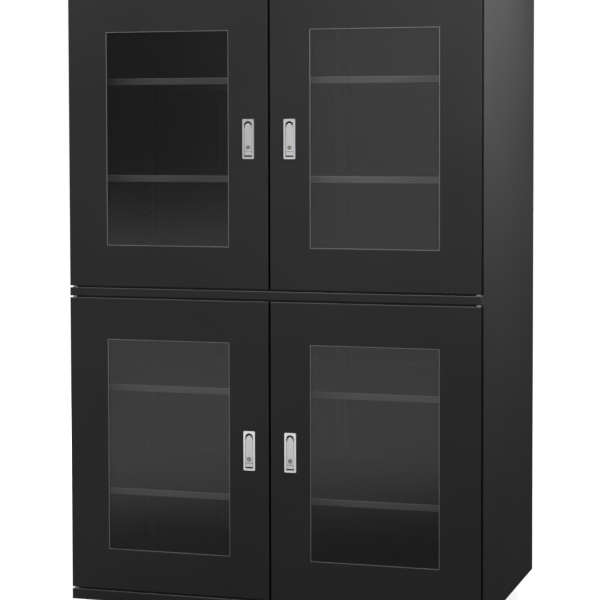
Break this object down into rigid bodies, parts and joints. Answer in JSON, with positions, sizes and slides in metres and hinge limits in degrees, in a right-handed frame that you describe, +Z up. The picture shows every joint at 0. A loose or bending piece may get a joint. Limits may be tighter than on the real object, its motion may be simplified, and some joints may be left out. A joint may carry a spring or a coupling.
{
  "type": "electronic dry cabinet",
  "caption": "Tall steel dry cabinet with hinged glazed doors, flush pop-out locks, adjustable shelves, a drying unit on the back wall, a controller in the header and swivel casters.",
  "frame": {"origin": "centre of the footprint on the floor, under the caster wheels", "axes": "+Z up, -Y towards the doors, +X to the right as seen from the front"},
  "size_m": [1.2, 0.71, 1.91],
  "materials": {
    "body_paint": "black fine-textured powder coat",
    "front_paint": "black fine-textured powder coat",
    "inner_paint": "dark powder coat, satin",
    "window_glass": "clear toughened glass",
    "seal_rubber": "matte black rubber",
    "lock_metal": "satin-plated die casting",
    "key_metal": "turned, lightly brushed",
    "zinc_steel": "zinc plated",
    "black_plastic": "fine matte",
    "display": "gloss, dark smoked",
    "wheel_plastic": "black polyamide",
    "pedal_plastic": "moulded"
  },
  "bodies": {
    "cabinet": {"side_left": "body_paint", "side_right": "body_paint", "back_panel": "body_paint", "top_box": "body_paint", "floor_panel": "inner_paint", "base_pan": "body_paint", "front_frame": "inner_paint", "front_rails": "front_paint", "header": "front_paint", "hinge_pins": "zinc_steel", "uprights": "inner_paint", "shelves": "inner_paint", "shelf_clips": "zinc_steel", "dry_unit": "inner_paint", "control_panel": "black_plastic", "display_window": "display", "power_inlet": "black_plastic", "caster_plates": "zinc_steel"},
    "door_upper_left": {"door_upper_left": "front_paint", "glass_upper_left": "window_glass", "seals_upper_left": "seal_rubber", "lock_case_upper_left": "lock_metal"},
    "lever_upper_left": {"lever_upper_left": "lock_metal"},
    "button_upper_left": {"button_upper_left": "lock_metal"},
    "key_cylinder_upper_left": {"key_cylinder_upper_left": "key_metal"},
    "cam_upper_left": {"cam_upper_left": "zinc_steel"},
    "door_upper_right": {"door_upper_right": "front_paint", "glass_upper_right": "window_glass", "seals_upper_right": "seal_rubber", "lock_case_upper_right": "lock_metal"},
    "lever_upper_right": {"lever_upper_right": "lock_metal"},
    "button_upper_right": {"button_upper_right": "lock_metal"},
    "key_cylinder_upper_right": {"key_cylinder_upper_right": "key_metal"},
    "cam_upper_right": {"cam_upper_right": "zinc_steel"},
    "door_lower_left": {"door_lower_left": "front_paint", "glass_lower_left": "window_glass", "seals_lower_left": "seal_rubber", "lock_case_lower_left": "lock_metal"},
    "lever_lower_left": {"lever_lower_left": "lock_metal"},
    "button_lower_left": {"button_lower_left": "lock_metal"},
    "key_cylinder_lower_left": {"key_cylinder_lower_left": "key_metal"},
    "cam_lower_left": {"cam_lower_left": "zinc_steel"},
    "door_lower_right": {"door_lower_right": "front_paint", "glass_lower_right": "window_glass", "seals_lower_right": "seal_rubber", "lock_case_lower_right": "lock_metal"},
    "lever_lower_right": {"lever_lower_right": "lock_metal"},
    "button_lower_right": {"button_lower_right": "lock_metal"},
    "key_cylinder_lower_right": {"key_cylinder_lower_right": "key_metal"},
    "cam_lower_right": {"cam_lower_right": "zinc_steel"},
    "fork_front_left": {"fork_front_left": "zinc_steel"},
    "wheel_front_left": {"wheel_front_left": "wheel_plastic"},
    "brake_front_left": {"brake_front_left": "pedal_plastic"},
    "fork_front_right": {"fork_front_right": "zinc_steel"},
    "wheel_front_right": {"wheel_front_right": "wheel_plastic"},
    "brake_front_right": {"brake_front_right": "pedal_plastic"},
    "fork_rear_left": {"fork_rear_left": "zinc_steel"},
    "wheel_rear_left": {"wheel_rear_left": "wheel_plastic"},
    "fork_rear_right": {"fork_rear_right": "zinc_steel"},
    "wheel_rear_right": {"wheel_rear_right": "wheel_plastic"}
  },
  "joints": [
    {"name": "door_hinge_upper_left", "type": "hinge", "parent": "cabinet", "child": "door_upper_left", "pos_m": [-0.588, -0.341, 1.4005], "axis": [0, 0, -1], "range_deg": [0, 120]},
    {"name": "lever_pop_upper_left", "type": "hinge", "parent": "door_upper_left", "child": "lever_upper_left", "pos_m": [-0.06, -0.3515, 1.438], "axis": [-1, 0, 0], "range_deg": [0, 30]},
    {"name": "button_push_upper_left", "type": "slide", "parent": "door_upper_left", "child": "button_upper_left", "axis": [0, 1, 0], "range_m": [0, 0.0025], "stiffness_N_per_m": 400, "springref_m": -0.002},
    {"name": "key_turn_upper_left", "type": "hinge", "parent": "lever_upper_left", "child": "key_cylinder_upper_left", "pos_m": [-0.06, -0.3515, 1.37645], "axis": [0, 1, 0], "range_deg": [0, 90]},
    {"name": "cam_turn_upper_left", "type": "hinge", "parent": "door_upper_left", "child": "cam_upper_left", "pos_m": [-0.06, -0.306, 1.438], "axis": [0, -1, 0], "range_deg": [0, 90]},
    {"name": "door_hinge_upper_right", "type": "hinge", "parent": "cabinet", "child": "door_upper_right", "pos_m": [0.588, -0.341, 1.4005], "axis": [0, 0, 1], "range_deg": [0, 120]},
    {"name": "lever_pop_upper_right", "type": "hinge", "parent": "door_upper_right", "child": "lever_upper_right", "pos_m": [0.06, -0.3515, 1.438], "axis": [-1, 0, 0], "range_deg": [0, 30]},
    {"name": "button_push_upper_right", "type": "slide", "parent": "door_upper_right", "child": "button_upper_right", "axis": [0, 1, 0], "range_m": [0, 0.0025], "stiffness_N_per_m": 400, "springref_m": -0.002},
    {"name": "key_turn_upper_right", "type": "hinge", "parent": "lever_upper_right", "child": "key_cylinder_upper_right", "pos_m": [0.06, -0.3515, 1.37645], "axis": [0, 1, 0], "range_deg": [0, 90]},
    {"name": "cam_turn_upper_right", "type": "hinge", "parent": "door_upper_right", "child": "cam_upper_right", "pos_m": [0.06, -0.306, 1.438], "axis": [0, 1, 0], "range_deg": [0, 90]},
    {"name": "door_hinge_lower_left", "type": "hinge", "parent": "cabinet", "child": "door_lower_left", "pos_m": [-0.588, -0.341, 0.5355], "axis": [0, 0, -1], "range_deg": [0, 120]},
    {"name": "lever_pop_lower_left", "type": "hinge", "parent": "door_lower_left", "child": "lever_lower_left", "pos_m": [-0.06, -0.3515, 0.573], "axis": [-1, 0, 0], "range_deg": [0, 30]},
    {"name": "button_push_lower_left", "type": "slide", "parent": "door_lower_left", "child": "button_lower_left", "axis": [0, 1, 0], "range_m": [0, 0.0025], "stiffness_N_per_m": 400, "springref_m": -0.002},
    {"name": "key_turn_lower_left", "type": "hinge", "parent": "lever_lower_left", "child": "key_cylinder_lower_left", "pos_m": [-0.06, -0.3515, 0.51145], "axis": [0, 1, 0], "range_deg": [0, 90]},
    {"name": "cam_turn_lower_left", "type": "hinge", "parent": "door_lower_left", "child": "cam_lower_left", "pos_m": [-0.06, -0.306, 0.573], "axis": [0, -1, 0], "range_deg": [0, 90]},
    {"name": "door_hinge_lower_right", "type": "hinge", "parent": "cabinet", "child": "door_lower_right", "pos_m": [0.588, -0.341, 0.5355], "axis": [0, 0, 1], "range_deg": [0, 120]},
    {"name": "lever_pop_lower_right", "type": "hinge", "parent": "door_lower_right", "child": "lever_lower_right", "pos_m": [0.06, -0.3515, 0.573], "axis": [-1, 0, 0], "range_deg": [0, 30]},
    {"name": "button_push_lower_right", "type": "slide", "parent": "door_lower_right", "child": "button_lower_right", "axis": [0, 1, 0], "range_m": [0, 0.0025], "stiffness_N_per_m": 400, "springref_m": -0.002},
    {"name": "key_turn_lower_right", "type": "hinge", "parent": "lever_lower_right", "child": "key_cylinder_lower_right", "pos_m": [0.06, -0.3515, 0.51145], "axis": [0, 1, 0], "range_deg": [0, 90]},
    {"name": "cam_turn_lower_right", "type": "hinge", "parent": "door_lower_right", "child": "cam_lower_right", "pos_m": [0.06, -0.306, 0.573], "axis": [0, 1, 0], "range_deg": [0, 90]},
    {"name": "caster_swivel_front_left", "type": "hinge", "parent": "cabinet", "child": "fork_front_left", "pos_m": [-0.5, -0.222, 0.078], "axis": [0, 0, 1], "continuous": true},
    {"name": "wheel_spin_front_left", "type": "hinge", "parent": "fork_front_left", "child": "wheel_front_left", "pos_m": [-0.5, -0.248, 0.0315], "axis": [1, 0, 0], "continuous": true},
    {"name": "brake_press_front_left", "type": "hinge", "parent": "fork_front_left", "child": "brake_front_left", "pos_m": [-0.5, -0.27415, 0.05796], "axis": [1, 0, 0], "range_deg": [0, 14]},
    {"name": "caster_swivel_front_right", "type": "hinge", "parent": "cabinet", "child": "fork_front_right", "pos_m": [0.5, -0.222, 0.078], "axis": [0, 0, 1], "continuous": true},
    {"name": "wheel_spin_front_right", "type": "hinge", "parent": "fork_front_right", "child": "wheel_front_right", "pos_m": [0.5, -0.248, 0.0315], "axis": [1, 0, 0], "continuous": true},
    {"name": "brake_press_front_right", "type": "hinge", "parent": "fork_front_right", "child": "brake_front_right", "pos_m": [0.5, -0.27415, 0.05796], "axis": [1, 0, 0], "range_deg": [0, 14]},
    {"name": "caster_swivel_rear_left", "type": "hinge", "parent": "cabinet", "child": "fork_rear_left", "pos_m": [-0.5, 0.255, 0.078], "axis": [0, 0, 1], "continuous": true},
    {"name": "wheel_spin_rear_left", "type": "hinge", "parent": "fork_rear_left", "child": "wheel_rear_left", "pos_m": [-0.5, 0.281, 0.0315], "axis": [1, 0, 0], "continuous": true},
    {"name": "caster_swivel_rear_right", "type": "hinge", "parent": "cabinet", "child": "fork_rear_right", "pos_m": [0.5, 0.255, 0.078], "axis": [0, 0, 1], "continuous": true},
    {"name": "wheel_spin_rear_right", "type": "hinge", "parent": "fork_rear_right", "child": "wheel_rear_right", "pos_m": [0.5, 0.281, 0.0315], "axis": [1, 0, 0], "continuous": true}
  ]
}
